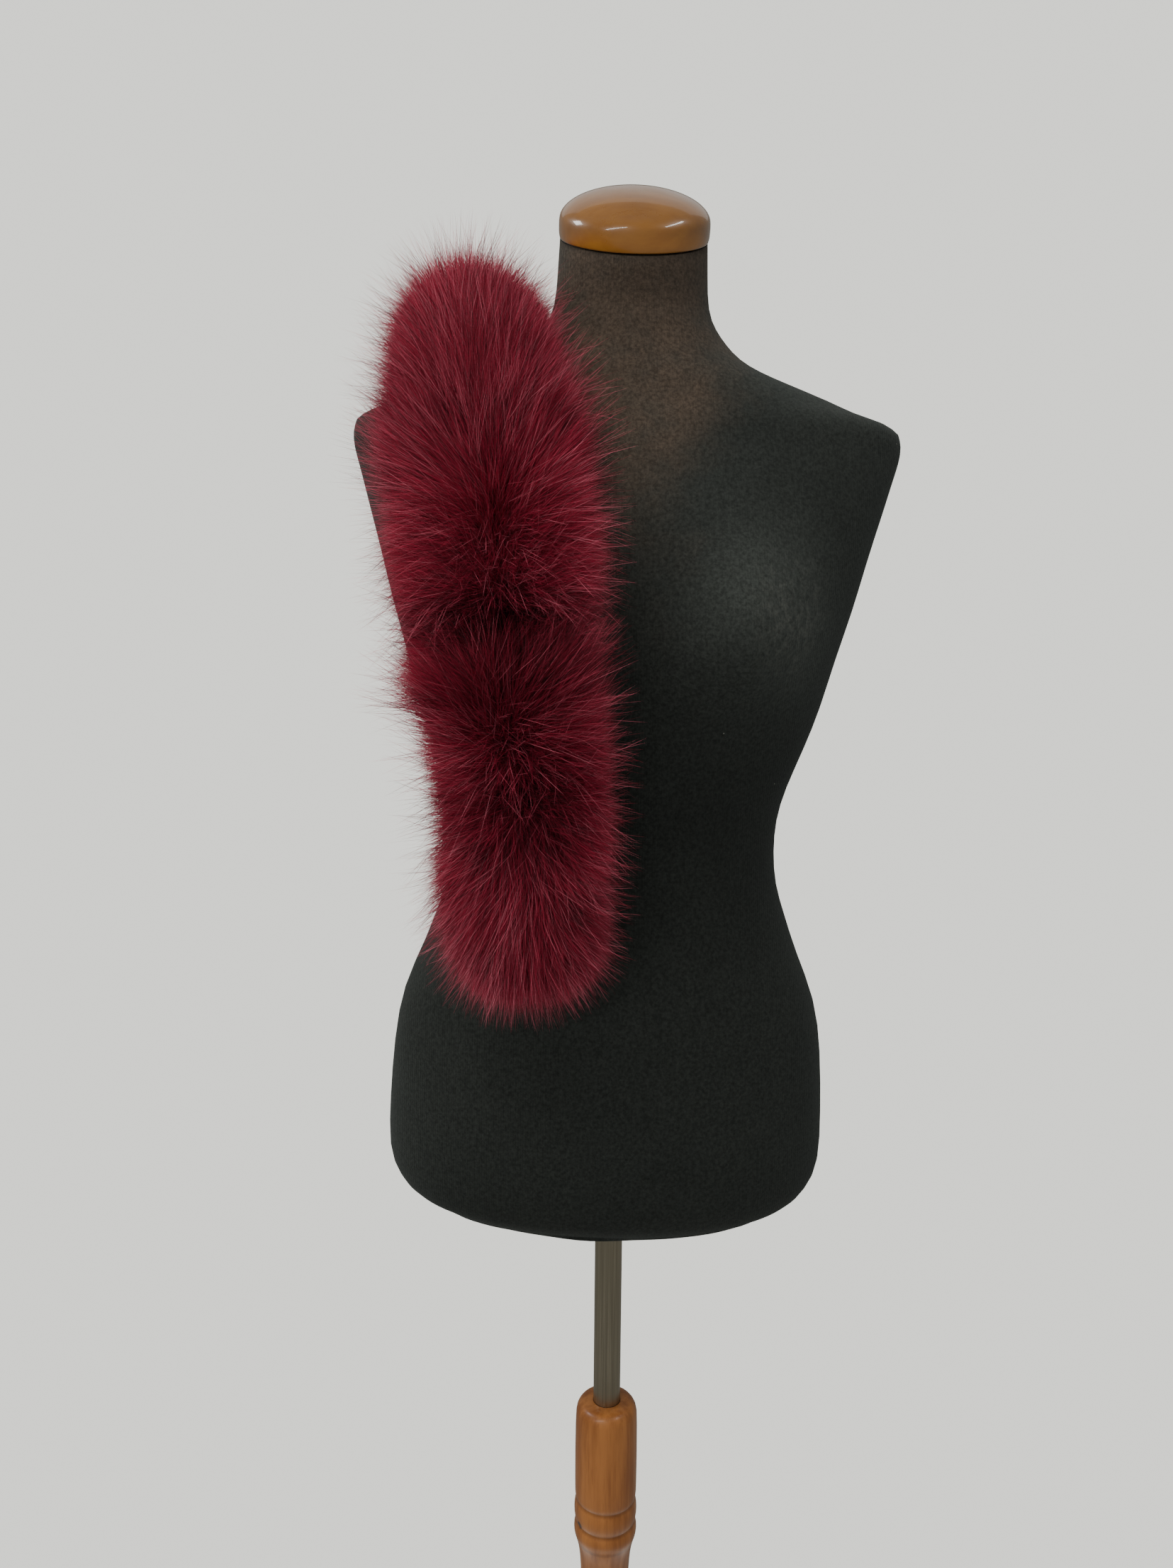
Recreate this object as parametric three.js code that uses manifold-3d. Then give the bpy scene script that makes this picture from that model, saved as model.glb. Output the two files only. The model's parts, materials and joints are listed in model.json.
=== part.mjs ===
// A long-haired fur collar wrap, laid over the right shoulder of a limbless dress form.
// The form stands on a steel pole in a turned wooden post with a round wooden foot.
// Millimetres, +Z up. The form faces -Y, and the origin is the centre of the foot's underside.

import * as THREE from "three";
import { mergeVertices } from "three/addons/utils/BufferGeometryUtils.js";
import Module from "manifold-3d";

const wasm = await Module();
wasm.setup();

// Stand: a round foot with a rounded rim, a turned post and a pole that stands in its blind bore
const FOOT_RADIUS = 180;
const FOOT_HEIGHT = 30;
const FOOT_BEVEL = 3;
const FOOT_RIM_RADIUS = 9;
const FOOT_RIM_FROM = 14;
const FOOT_RIM_STEPS = 4;
const FOOT_FLAT_RADIUS = 62;
const FOOT_SLOPE = { radius: 140, drop: 2 };
const POST_TOP = 608;
const POST_RADIUS = 25.6;
const POLE_RADIUS = 11;
const POLE_BOTTOM = 500;
const POLE_IN_FORM = 60;
const CLEARANCE = 0.3;

// The post's turned outline above the foot: the flared base, the long waist and two beads
const POST_OUTLINE = [
  { radius: 46, height: FOOT_HEIGHT + CLEARANCE },
  { radius: 48, height: 34 },
  { radius: 48, height: 42 },
  { radius: 44, height: 48 },
  { radius: 34, height: 54 },
  { radius: 28, height: 66 },
  { radius: 25, height: 90 },
  { radius: 24, height: 150 },
  { radius: 22.5, height: 260 },
  { radius: 20.5, height: 370 },
  { radius: 19.6, height: 430 },
  { radius: 20.1, height: 460 },
  { radius: 21.4, height: 474 },
  { radius: 23.4, height: 484 },
  { radius: 25.4, height: 489 },
  { radius: 26.3, height: 494.5 },
  { radius: 25.6, height: 499.5 },
  { radius: 24.3, height: 502 },
  { radius: 25.5, height: 505 },
  { radius: 26.2, height: 512 },
  { radius: 25.5, height: 519 },
  { radius: 24.3, height: 522 },
  { radius: 25.2, height: 524.5 },
  { radius: POST_RADIUS, height: 528 },
];

// The post's rounded top, as steps in from its radius and down from its top
const POST_RIM = [
  { inset: 0, drop: 11 },
  { inset: 1.2, drop: 6 },
  { inset: 3.6, drop: 2 },
  { inset: 7.6, drop: 0 },
];

// Form: the height of its underside, and its slight lean towards its left on the pole
const UNDERSIDE = 796;
const LEAN = THREE.MathUtils.degToRad(1.2);
const LEAN_PIVOT = 265;
const NECK_TILT = THREE.MathUtils.degToRad(28);
const NECK_TOP = 713;
const NECK_TOP_Y = -4;
const NECK_TILT_FROM = 640;
const CAP_RADIUS = 54;
const CAP_BAND = 13;
const CAP_DOME = 22;
const CAP_DOME_STEPS = 9;
const CAP_EDGE = [
  { inset: 3, height: 0 },
  { inset: 0.8, height: 1.4 },
  { inset: 0, height: 4 },
];

// Bust: each cup's centre from the middle, its height above the underside, and its reach
const CUP = { x: 80, z: 432, depth: 34, width: 46, above: 62, below: 40 };

// Sections of the form, by height above its underside. front and back are measured from the
// middle plane, and square is the superellipse exponent of the outline.
const FORM_SECTIONS = [
  { height: 0, half: 130, front: 80, back: 86, square: 2.1 },
  { height: 2.5, half: 143, front: 90, back: 98, square: 2.1 },
  { height: 9, half: 154, front: 99, back: 107, square: 2.15 },
  { height: 20, half: 162, front: 105, back: 113, square: 2.2 },
  { height: 38, half: 168, front: 109, back: 117, square: 2.2 },
  { height: 75, half: 168, front: 110, back: 119, square: 2.2 },
  { height: 120, half: 165, front: 108, back: 117, square: 2.2 },
  { height: 160, half: 158, front: 105, back: 109, square: 2.15 },
  { height: 195, half: 144, front: 100, back: 97, square: 2.1 },
  { height: 225, half: 133, front: 96, back: 87, square: 2.1 },
  { height: 250, half: 125, front: 93, back: 80, square: 2.1 },
  { height: 275, half: 122, front: 92, back: 77, square: 2.1 },
  { height: 300, half: 123, front: 93, back: 76, square: 2.1 },
  { height: 325, half: 129, front: 95, back: 78, square: 2.15 },
  { height: 355, half: 140, front: 99, back: 83, square: 2.2 },
  { height: 385, half: 150, front: 103, back: 89, square: 2.2 },
  { height: 420, half: 159, front: 106, back: 94, square: 2.25 },
  { height: 455, half: 169, front: 106, back: 98, square: 2.3 },
  { height: 490, half: 178, front: 102, back: 100, square: 2.3 },
  { height: 525, half: 188, front: 94, back: 99, square: 2.2 },
  { height: 550, half: 195, front: 86, back: 97, square: 2.1 },
  { height: 564, half: 199, front: 81, back: 95, square: 2 },
  { height: 575, half: 200, front: 77, back: 92, square: 2 },
  { height: 583, half: 198, front: 74, back: 90, square: 2 },
  { height: 590, half: 188, front: 71, back: 88, square: 2 },
  { height: 596, half: 168, front: 69, back: 86, square: 2 },
  { height: 604, half: 148, front: 66, back: 83, square: 2 },
  { height: 614, half: 120, front: 63, back: 79, square: 2 },
  { height: 622, half: 99, front: 60, back: 75, square: 2 },
  { height: 631, half: 82, front: 57, back: 71, square: 2 },
  { height: 641, half: 71, front: 54, back: 67, square: 2 },
  { height: 653, half: 62, front: 52, back: 60, square: 2 },
  { height: 668, half: 56, front: 50, back: 54, square: 2 },
  { height: 690, half: 54, front: 50, back: 47, square: 2 },
  { height: NECK_TOP, half: 53, front: 51, back: 43, square: 2 },
];
const FORM_SIDES = 52;
const FOOT_SIDES = 48;
const POST_SIDES = 36;
const POLE_SIDES = 32;
const CAP_SIDES = 40;

// Middle line of the fur's hide from its front end, up over the shoulder and down the back, in
// the form's own frame. half is the reach of the dense hair to each side, pile is its height
// outside the hide, and tip is how far the strip tilts down towards the shoulder's point.
const STRIP = [
  { x: -40, y: -121, z: 190, half: 53, pile: 54, tip: 0 },
  { x: -49, y: -126, z: 218, half: 58, pile: 57, tip: 0 },
  { x: -55, y: -131, z: 248, half: 61, pile: 58, tip: 0 },
  { x: -60, y: -136, z: 280, half: 64, pile: 58, tip: 0 },
  { x: -62, y: -142, z: 320, half: 64, pile: 58, tip: 0 },
  { x: -67, y: -147, z: 362, half: 64, pile: 57, tip: 0 },
  { x: -75, y: -151, z: 402, half: 65, pile: 56, tip: 0 },
  { x: -80, y: -147, z: 438, half: 70, pile: 57, tip: 0 },
  { x: -83, y: -137, z: 468, half: 74, pile: 60, tip: 0 },
  { x: -87, y: -121, z: 500, half: 77, pile: 62, tip: 2 },
  { x: -94, y: -103, z: 534, half: 75, pile: 63, tip: 5 },
  { x: -100, y: -86, z: 568, half: 70, pile: 64, tip: 9 },
  { x: -105, y: -66, z: 601, half: 63, pile: 65, tip: 13 },
  { x: -110, y: -38, z: 626, half: 58, pile: 65, tip: 16 },
  { x: -112, y: 4, z: 634, half: 56, pile: 64, tip: 17 },
  { x: -112, y: 48, z: 625, half: 57, pile: 64, tip: 16 },
  { x: -111, y: 78, z: 602, half: 61, pile: 62, tip: 12 },
  { x: -109, y: 96, z: 566, half: 65, pile: 60, tip: 7 },
  { x: -107, y: 103, z: 528, half: 66, pile: 58, tip: 3 },
  { x: -104, y: 105, z: 488, half: 66, pile: 58, tip: 0 },
  { x: -101, y: 103, z: 446, half: 64, pile: 57, tip: 0 },
  { x: -98, y: 100, z: 404, half: 63, pile: 57, tip: 0 },
  { x: -95, y: 97, z: 360, half: 60, pile: 55, tip: 0 },
  { x: -93, y: 94, z: 318, half: 54, pile: 52, tip: 0 },
];
const STRIP_UNDER = 20;
const STRIP_STEP = 15;
const STRIP_SIDES = 24;
const ARC_DIVISIONS = 400;

// Each end narrows over END_ROUND along a superellipse, down to the share END_LEAST
const END_ROUND = 38;
const END_SQUARE = 2.6;
const END_LEAST = 0.25;

// Each seam draws the hair in by the share SEAM_DIP, over SEAM_REACH to each side
const SEAM_GAP = 0.3;
const SEAM_DIP = 0.08;
const SEAM_REACH = 26;
const FORM_GAP = 0.4;

// The skins that the strip is pieced from, by their lengths along its middle from the front end.
// The last one takes what is left.
const SKINS = [
  { name: "fur_front_end", length: 172 },
  { name: "fur_waist", length: 76 },
  { name: "fur_chest", length: 53 },
  { name: "fur_shoulder", length: 285 },
  { name: "fur_blade", length: 122 },
  { name: "fur_back_end", length: Infinity },
];

const FINISH = {
  fur: new THREE.MeshStandardMaterial({ color: 0x6e1b30, roughness: 0.9, metalness: 0 }),
  jersey: new THREE.MeshStandardMaterial({ color: 0x2a2f2e, roughness: 0.95, metalness: 0 }),
  lacquer: new THREE.MeshStandardMaterial({ color: 0x8a5a28, roughness: 0.15, metalness: 0 }),
  steel: new THREE.MeshStandardMaterial({ color: 0x6e6a5e, roughness: 0.35, metalness: 1 }),
  post: new THREE.MeshStandardMaterial({ color: 0x9a6230, roughness: 0.4, metalness: 0 }),
};

// A closed body through rings with the same number of points, with a flat fan over each end
function loft(rings) {
  const sides = rings[0].length;
  const points = rings.flat();
  const first = points.length;
  const centre = (ring) => ring.reduce((sum, p) => sum.add(p), new THREE.Vector3()).divideScalar(sides);
  points.push(centre(rings[0]), centre(rings.at(-1)));
  const index = [];
  for (let i = 0; i < sides; i++) {
    const j = (i + 1) % sides;
    index.push(first, j, i);
    const last = (rings.length - 1) * sides;
    index.push(first + 1, last + i, last + j);
    for (let r = 0; r + 1 < rings.length; r++) {
      const low = r * sides;
      const high = low + sides;
      index.push(low + i, low + j, high + j);
      index.push(low + i, high + j, high + i);
    }
  }
  const geometry = new THREE.BufferGeometry().setFromPoints(points);
  geometry.setIndex(index);
  return geometry;
}

// A body turned round +Z from a profile of [radius, height] pairs that starts and ends on the axis
function turned(profile, segments) {
  const points = profile.map(([radius, height]) => new THREE.Vector2(radius, height));
  const geometry = new THREE.LatheGeometry(points, segments);
  geometry.rotateX(Math.PI / 2);
  return geometry;
}

function solidOf(geometry) {
  const bare = geometry.clone();
  bare.deleteAttribute("normal");
  bare.deleteAttribute("uv");
  const merged = mergeVertices(bare);
  const vertProperties = new Float32Array(merged.attributes.position.array);
  const triVerts = new Uint32Array(merged.index.array);
  return new wasm.Manifold(new wasm.Mesh({ numProp: 3, vertProperties, triVerts }));
}

function geometryOf(solid) {
  const { vertProperties, triVerts } = solid.getMesh();
  const geometry = new THREE.BufferGeometry();
  geometry.setAttribute("position", new THREE.BufferAttribute(new Float32Array(vertProperties), 3));
  geometry.setIndex(new THREE.BufferAttribute(new Uint32Array(triVerts), 1));
  return geometry;
}

// The same surface moved out along its normals
function inflated(geometry, distance) {
  const grown = geometry.clone();
  grown.computeVertexNormals();
  const { position, normal } = grown.attributes;
  for (let i = 0; i < position.count; i++) {
    position.setXYZ(
      i,
      position.getX(i) + distance * normal.getX(i),
      position.getY(i) + distance * normal.getY(i),
      position.getZ(i) + distance * normal.getZ(i),
    );
  }
  return grown;
}

function power(value, exponent) {
  return Math.sign(value) * Math.abs(value) ** exponent;
}

// How far the bust stands out at a place on the form's front
function cupDepth(x, z) {
  const across = (Math.abs(x) - CUP.x) / CUP.width;
  const up = (z - CUP.z) / (z > CUP.z ? CUP.above : CUP.below);
  return CUP.depth * Math.exp(-across * across - up * up);
}

// One section of the form. Near the neck's top it tilts into the plane of the cap.
function formRing({ height, half, front, back, square }) {
  const tilt = Math.tan(NECK_TILT) * THREE.MathUtils.smoothstep(height, NECK_TILT_FROM, NECK_TOP);
  const ring = [];
  for (let i = 0; i < FORM_SIDES; i++) {
    const turn = (2 * Math.PI * i) / FORM_SIDES;
    const x = half * power(Math.cos(turn), 2 / square);
    const facing = Math.max(0, -Math.sin(turn));
    const reach = facing > 0 ? front : back;
    const y = reach * power(Math.sin(turn), 2 / square) - cupDepth(x, height) * Math.sqrt(facing);
    ring.push(new THREE.Vector3(x, y, height + tilt * (y - NECK_TOP_Y)));
  }
  return ring;
}

// The strip's middle line with the measures of STRIP along it
class StripRoute {
  constructor(stations) {
    this.stations = stations;
    this.curve = new THREE.CatmullRomCurve3(stations.map(({ x, y, z }) => new THREE.Vector3(x, y, z)));
    this.curve.arcLengthDivisions = ARC_DIVISIONS;
    this.length = this.curve.getLength();
  }

  measure(u, name) {
    const place = u * (this.stations.length - 1);
    const at = Math.min(Math.floor(place), this.stations.length - 2);
    return THREE.MathUtils.lerp(this.stations[at][name], this.stations[at + 1][name], place - at);
  }

  // The section at a distance along the strip: an oval that is deep outside the hide and
  // shallow under it, drawn in a little at each seam and rounded off at each end
  ring(distance, seams) {
    const share = THREE.MathUtils.clamp(distance / this.length, 0, 1);
    const u = this.curve.getUtoTmapping(share);
    const middle = this.curve.getPoint(u);
    const along = this.curve.getTangent(u);
    const tip = THREE.MathUtils.degToRad(this.measure(u, "tip"));
    const across = new THREE.Vector3(Math.cos(tip), 0, Math.sin(tip));
    across.addScaledVector(along, -across.dot(along)).normalize();
    const out = new THREE.Vector3().crossVectors(across, along).normalize();
    const toEnd = Math.min(distance, this.length - distance);
    const left = 1 - Math.min(1, toEnd / END_ROUND);
    const round = Math.max(END_LEAST, (1 - left ** END_SQUARE) ** (1 / END_SQUARE));
    const near = Math.min(...seams.map((seam) => Math.abs(seam - distance)));
    const full = 1 - SEAM_DIP * Math.exp(-((near / SEAM_REACH) ** 2));
    const half = this.measure(u, "half") * round * full;
    const pile = this.measure(u, "pile") * round * full;
    const ring = [];
    for (let i = 0; i < STRIP_SIDES; i++) {
      const turn = (-2 * Math.PI * i) / STRIP_SIDES;
      const rise = Math.sin(turn) * (Math.sin(turn) > 0 ? pile : STRIP_UNDER * round);
      ring.push(
        middle
          .clone()
          .addScaledVector(across, half * Math.cos(turn))
          .addScaledVector(out, rise),
      );
    }
    return ring;
  }
}

function named(name, geometry, material) {
  const mesh = new THREE.Mesh(geometry, material);
  mesh.name = name;
  return mesh;
}

function makeFoot() {
  const profile = [
    [0, 0],
    [FOOT_RADIUS - FOOT_BEVEL, 0],
    [FOOT_RADIUS, FOOT_BEVEL],
    [FOOT_RADIUS, FOOT_RIM_FROM],
  ];
  for (let i = 1; i <= FOOT_RIM_STEPS; i++) {
    const turn = (Math.PI / 2) * (i / FOOT_RIM_STEPS);
    const radius = FOOT_RADIUS - FOOT_RIM_RADIUS * (1 - Math.cos(turn));
    profile.push([radius, FOOT_RIM_FROM + FOOT_RIM_RADIUS * Math.sin(turn)]);
  }
  profile.push([FOOT_SLOPE.radius, FOOT_HEIGHT - FOOT_SLOPE.drop]);
  profile.push([FOOT_FLAT_RADIUS, FOOT_HEIGHT]);
  profile.push([0, FOOT_HEIGHT]);
  return named("foot", turned(profile, FOOT_SIDES), FINISH.post);
}

function makePost() {
  const bore = POLE_RADIUS + CLEARANCE;
  const profile = [
    [0, FOOT_HEIGHT + CLEARANCE],
    ...POST_OUTLINE.map(({ radius, height }) => [radius, height]),
    ...POST_RIM.map(({ inset, drop }) => [POST_RADIUS - inset, POST_TOP - drop]),
    [bore, POST_TOP],
    [bore, POLE_BOTTOM],
    [0, POLE_BOTTOM],
  ];
  return named("post", turned(profile, POST_SIDES), FINISH.post);
}

function makePole() {
  const bottom = POLE_BOTTOM + CLEARANCE;
  const top = UNDERSIDE + POLE_IN_FORM - CLEARANCE;
  const profile = [
    [0, bottom],
    [POLE_RADIUS, bottom],
    [POLE_RADIUS, top],
    [0, top],
  ];
  return named("pole", turned(profile, POLE_SIDES), FINISH.steel);
}

// The stuffed form, with an upright socket for the pole
function makeForm(formGeometry, toForm) {
  const radius = POLE_RADIUS + CLEARANCE;
  const bottom = UNDERSIDE - POLE_IN_FORM;
  const top = UNDERSIDE + POLE_IN_FORM;
  const socket = turned([[0, bottom], [radius, bottom], [radius, top], [0, top]], POLE_SIDES);
  socket.applyMatrix4(toForm);
  return named("form", geometryOf(solidOf(formGeometry).subtract(solidOf(socket))), FINISH.jersey);
}

// The domed wooden cap on the neck's sloping top
function makeCap() {
  const profile = [[0, 0], ...CAP_EDGE.map(({ inset, height }) => [CAP_RADIUS - inset, height])];
  for (let i = 0; i <= CAP_DOME_STEPS; i++) {
    const turn = (Math.PI / 2) * (i / CAP_DOME_STEPS);
    const radius = i < CAP_DOME_STEPS ? CAP_RADIUS * Math.cos(turn) : 0;
    profile.push([radius, CAP_BAND + CAP_DOME * Math.sin(turn)]);
  }
  const cap = named("neck_cap", turned(profile, CAP_SIDES), FINISH.lacquer);
  cap.rotation.x = NECK_TILT;
  cap.position.set(0, NECK_TOP_Y, NECK_TOP);
  cap.translateZ(CLEARANCE);
  return cap;
}

// The pieced strip. Where it rests, its underside takes the form's shape with a small gap.
function makeFur(formGeometry) {
  const route = new StripRoute(STRIP);
  const seams = [];
  for (const { length } of SKINS.slice(0, -1)) seams.push((seams.at(-1) ?? 0) + length);
  const keepOut = solidOf(inflated(formGeometry, FORM_GAP));
  return SKINS.map(({ name }, i) => {
    const start = i > 0 ? seams[i - 1] + SEAM_GAP / 2 : 0;
    const end = i < seams.length ? seams[i] - SEAM_GAP / 2 : route.length;
    const count = Math.max(3, Math.round((end - start) / STRIP_STEP));
    const rings = [];
    for (let k = 0; k <= count; k++) {
      rings.push(route.ring(start + ((end - start) * k) / count, seams));
    }
    const parts = solidOf(loft(rings)).subtract(keepOut).decompose();
    const main = parts.sort((a, b) => b.volume() - a.volume())[0];
    return named(name, geometryOf(main), FINISH.fur);
  });
}

function makePart() {
  const part = new THREE.Group();
  part.add(makeFoot(), makePost(), makePole());

  const leaning = new THREE.Group();
  leaning.position.z = UNDERSIDE + LEAN_PIVOT;
  leaning.rotation.y = LEAN;
  const dressed = new THREE.Group();
  dressed.position.z = -LEAN_PIVOT;
  leaning.add(dressed);
  part.add(leaning);
  part.updateMatrixWorld(true);

  const formGeometry = loft(FORM_SECTIONS.map(formRing));
  const toForm = dressed.matrixWorld.clone().invert();
  dressed.add(makeForm(formGeometry, toForm), makeCap(), ...makeFur(formGeometry));
  return part;
}

export default makePart();
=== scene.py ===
"""A dyed fur collar wrap over one shoulder of a limbless jersey dress form on a turned stand.

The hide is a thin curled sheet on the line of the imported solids. Soft underfur and long guard
hair grow out of it by Geometry Nodes, combed by short tables. The form, its cap and the stand
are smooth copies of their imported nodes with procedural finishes.
"""

import json
import math

import bmesh
import bpy
import numpy as np
from mathutils import Euler, Matrix, Vector
from mathutils.bvhtree import BVHTree

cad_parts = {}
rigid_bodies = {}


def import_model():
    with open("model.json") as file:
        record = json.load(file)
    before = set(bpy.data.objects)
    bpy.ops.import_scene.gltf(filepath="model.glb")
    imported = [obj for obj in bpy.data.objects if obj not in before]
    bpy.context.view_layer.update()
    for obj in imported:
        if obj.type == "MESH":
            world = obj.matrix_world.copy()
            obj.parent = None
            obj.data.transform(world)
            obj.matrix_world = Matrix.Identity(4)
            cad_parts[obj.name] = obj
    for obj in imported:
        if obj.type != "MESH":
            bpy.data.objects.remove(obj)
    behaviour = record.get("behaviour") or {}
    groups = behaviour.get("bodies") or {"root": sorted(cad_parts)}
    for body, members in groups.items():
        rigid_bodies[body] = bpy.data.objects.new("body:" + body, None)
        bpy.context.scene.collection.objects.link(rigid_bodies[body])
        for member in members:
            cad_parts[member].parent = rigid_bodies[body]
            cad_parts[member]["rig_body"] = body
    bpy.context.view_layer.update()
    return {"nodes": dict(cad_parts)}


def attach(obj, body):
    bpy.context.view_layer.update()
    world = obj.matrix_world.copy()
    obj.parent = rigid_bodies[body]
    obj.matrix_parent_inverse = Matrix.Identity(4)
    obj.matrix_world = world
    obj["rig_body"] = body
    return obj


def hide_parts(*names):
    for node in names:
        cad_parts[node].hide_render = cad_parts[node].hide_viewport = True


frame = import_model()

bl_info = {
    "name": "Fur collar wrap",
    "version": (1, 0, 0),
    "blender": (4, 5, 0),
    "location": "View3D > Sidebar > Fur wrap",
    "description": "Builds a fur collar wrap on a jersey dress form, piece by piece",
    "category": "Object",
}

BODY = "root"
MM = 0.001


def shade(red, green, blue):
    """A colour given as 0 to 255 display values, as the linear values that shaders take."""
    values = (c / 255 for c in (red, green, blue))
    return tuple(c / 12.92 if c <= 0.04045 else ((c + 0.055) / 1.055) ** 2.4 for c in values)


# The strip's place on the form

# The strip's middle line from its front end, up over the shoulder and down the back, in the
# form's own frame in millimetres, with the dense hair's reach to each side of it, its height
# outside it and the strip's tilt towards the shoulder's point in degrees
STRIP_COLUMNS = ("x", "y", "z", "half", "pile", "tip")
STRIP = (
    (-40, -121, 190, 53, 54, 0),
    (-49, -126, 218, 58, 57, 0),
    (-55, -131, 248, 61, 58, 0),
    (-60, -136, 280, 64, 58, 0),
    (-62, -142, 320, 64, 58, 0),
    (-67, -147, 362, 64, 57, 0),
    (-75, -151, 402, 65, 56, 0),
    (-80, -147, 438, 70, 57, 0),
    (-83, -137, 468, 74, 60, 0),
    (-87, -121, 500, 77, 62, 2),
    (-94, -103, 534, 75, 63, 5),
    (-100, -86, 568, 70, 64, 9),
    (-105, -66, 601, 63, 65, 13),
    (-110, -38, 626, 58, 65, 16),
    (-112, 4, 634, 56, 64, 17),
    (-112, 48, 625, 57, 64, 16),
    (-111, 78, 602, 61, 62, 12),
    (-109, 96, 566, 65, 60, 7),
    (-107, 103, 528, 66, 58, 3),
    (-104, 105, 488, 66, 58, 0),
    (-101, 103, 446, 64, 57, 0),
    (-98, 100, 404, 63, 57, 0),
    (-95, 97, 360, 60, 55, 0),
    (-93, 94, 318, 54, 52, 0),
)
# The form's own frame in the world: how high its underside is, how far it leans to the side and
# the height in it that stays in place
UNDERSIDE = 796
LEAN = math.radians(1.2)
LEAN_PIVOT = 265

# The dense hair's outline: how long its ends are, how square they look from the front, the least
# share of the full section there, and how far hair goes to the inside of the middle line
END_ROUND = 38
END_SQUARE = 2.6
END_LEAST = 0.02
UNDER = 26

# The skins by the places of their seams along the strip, from its front end
SKINS = (
    ("front_end", 0, 172),
    ("waist", 172, 248),
    ("chest", 248, 301),
    ("shoulder", 301, 586),
    ("blade", 586, 708),
    ("back_end", 708, 1000),
)

# How the hair is combed at places along the strip, in millimetres from its front end. up leans
# it towards the back end, out away from the parting, which lies at part from -1 to 1 across the
# strip, and stand straight out of the hide. mess scatters it, the tone column darkens or
# lightens it, partly as the fur's own tone and partly as painted shade in partings and hollows
# and painted light on lit tufts, and full is its length as a share of the reach.
COMB_COLUMNS = ("place", "up", "out", "stand", "part", "mess", "tone", "full")
COMB = (
    (0, -1.00, 0.22, 0.60, -0.05, 0.26, 0.05, 0.92),
    (45, -0.95, 0.36, 0.62, 0.00, 0.28, 0.05, 0.94),
    (100, -0.85, 0.55, 0.72, 0.05, 0.30, 0.04, 0.97),
    (125, -0.65, 0.70, 0.80, 0.10, 0.38, 0.03, 0.99),
    (146, -0.30, 0.90, 0.90, 0.12, 0.55, 0.01, 0.98),
    (164, 0.00, 1.00, 0.85, 0.06, 0.55, 0.02, 1.00),
    (180, 0.20, 1.00, 0.75, -0.05, 0.42, 0.07, 1.04),
    (192, 0.45, 0.90, 0.65, -0.16, 0.32, 0.04, 1.02),
    (202, 0.75, 0.75, 0.60, -0.18, 0.28, 0.01, 0.98),
    (214, 0.75, 0.80, 0.65, -0.15, 0.30, -0.02, 0.93),
    (230, 0.50, 0.90, 0.75, -0.08, 0.34, -0.02, 0.93),
    (246, 0.15, 1.00, 0.80, 0.02, 0.40, 0.00, 1.00),
    (258, 0.05, 1.00, 0.72, 0.08, 0.42, 0.02, 1.00),
    (285, -0.10, 1.05, 0.65, 0.10, 0.42, 0.03, 1.00),
    (314, -0.12, 1.05, 0.62, 0.10, 0.38, 0.03, 1.00),
    (328, 0.10, 0.95, 0.64, 0.10, 0.34, 0.05, 1.00),
    (338, 0.66, 0.60, 0.66, 0.10, 0.30, 0.04, 1.00),
    (352, 0.84, 0.48, 0.70, 0.08, 0.30, 0.01, 1.00),
    (400, 0.76, 0.48, 0.78, 0.05, 0.30, -0.04, 1.00),
    (440, 0.70, 0.50, 0.86, 0.02, 0.30, -0.01, 1.00),
    (480, 0.48, 0.60, 1.05, 0.00, 0.30, 0.02, 1.00),
    (530, 0.60, 0.65, 0.90, 0.00, 0.28, 0.03, 0.98),
    (575, 0.80, 0.60, 0.70, 0.05, 0.28, 0.00, 0.98),
    (592, 0.40, 0.95, 0.75, 0.05, 0.38, -0.02, 0.98),
    (620, 0.75, 0.80, 0.65, -0.05, 0.28, 0.02, 1.00),
    (690, 0.85, 0.70, 0.65, 0.00, 0.28, 0.01, 1.00),
    (712, 0.30, 0.95, 0.80, 0.08, 0.44, -0.02, 0.98),
    (740, 0.75, 0.75, 0.70, 0.00, 0.28, 0.02, 1.00),
    (800, 0.90, 0.55, 0.65, 0.00, 0.28, 0.04, 0.97),
    (900, 1.00, 0.30, 0.60, 0.00, 0.26, 0.05, 0.92),
)
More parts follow.
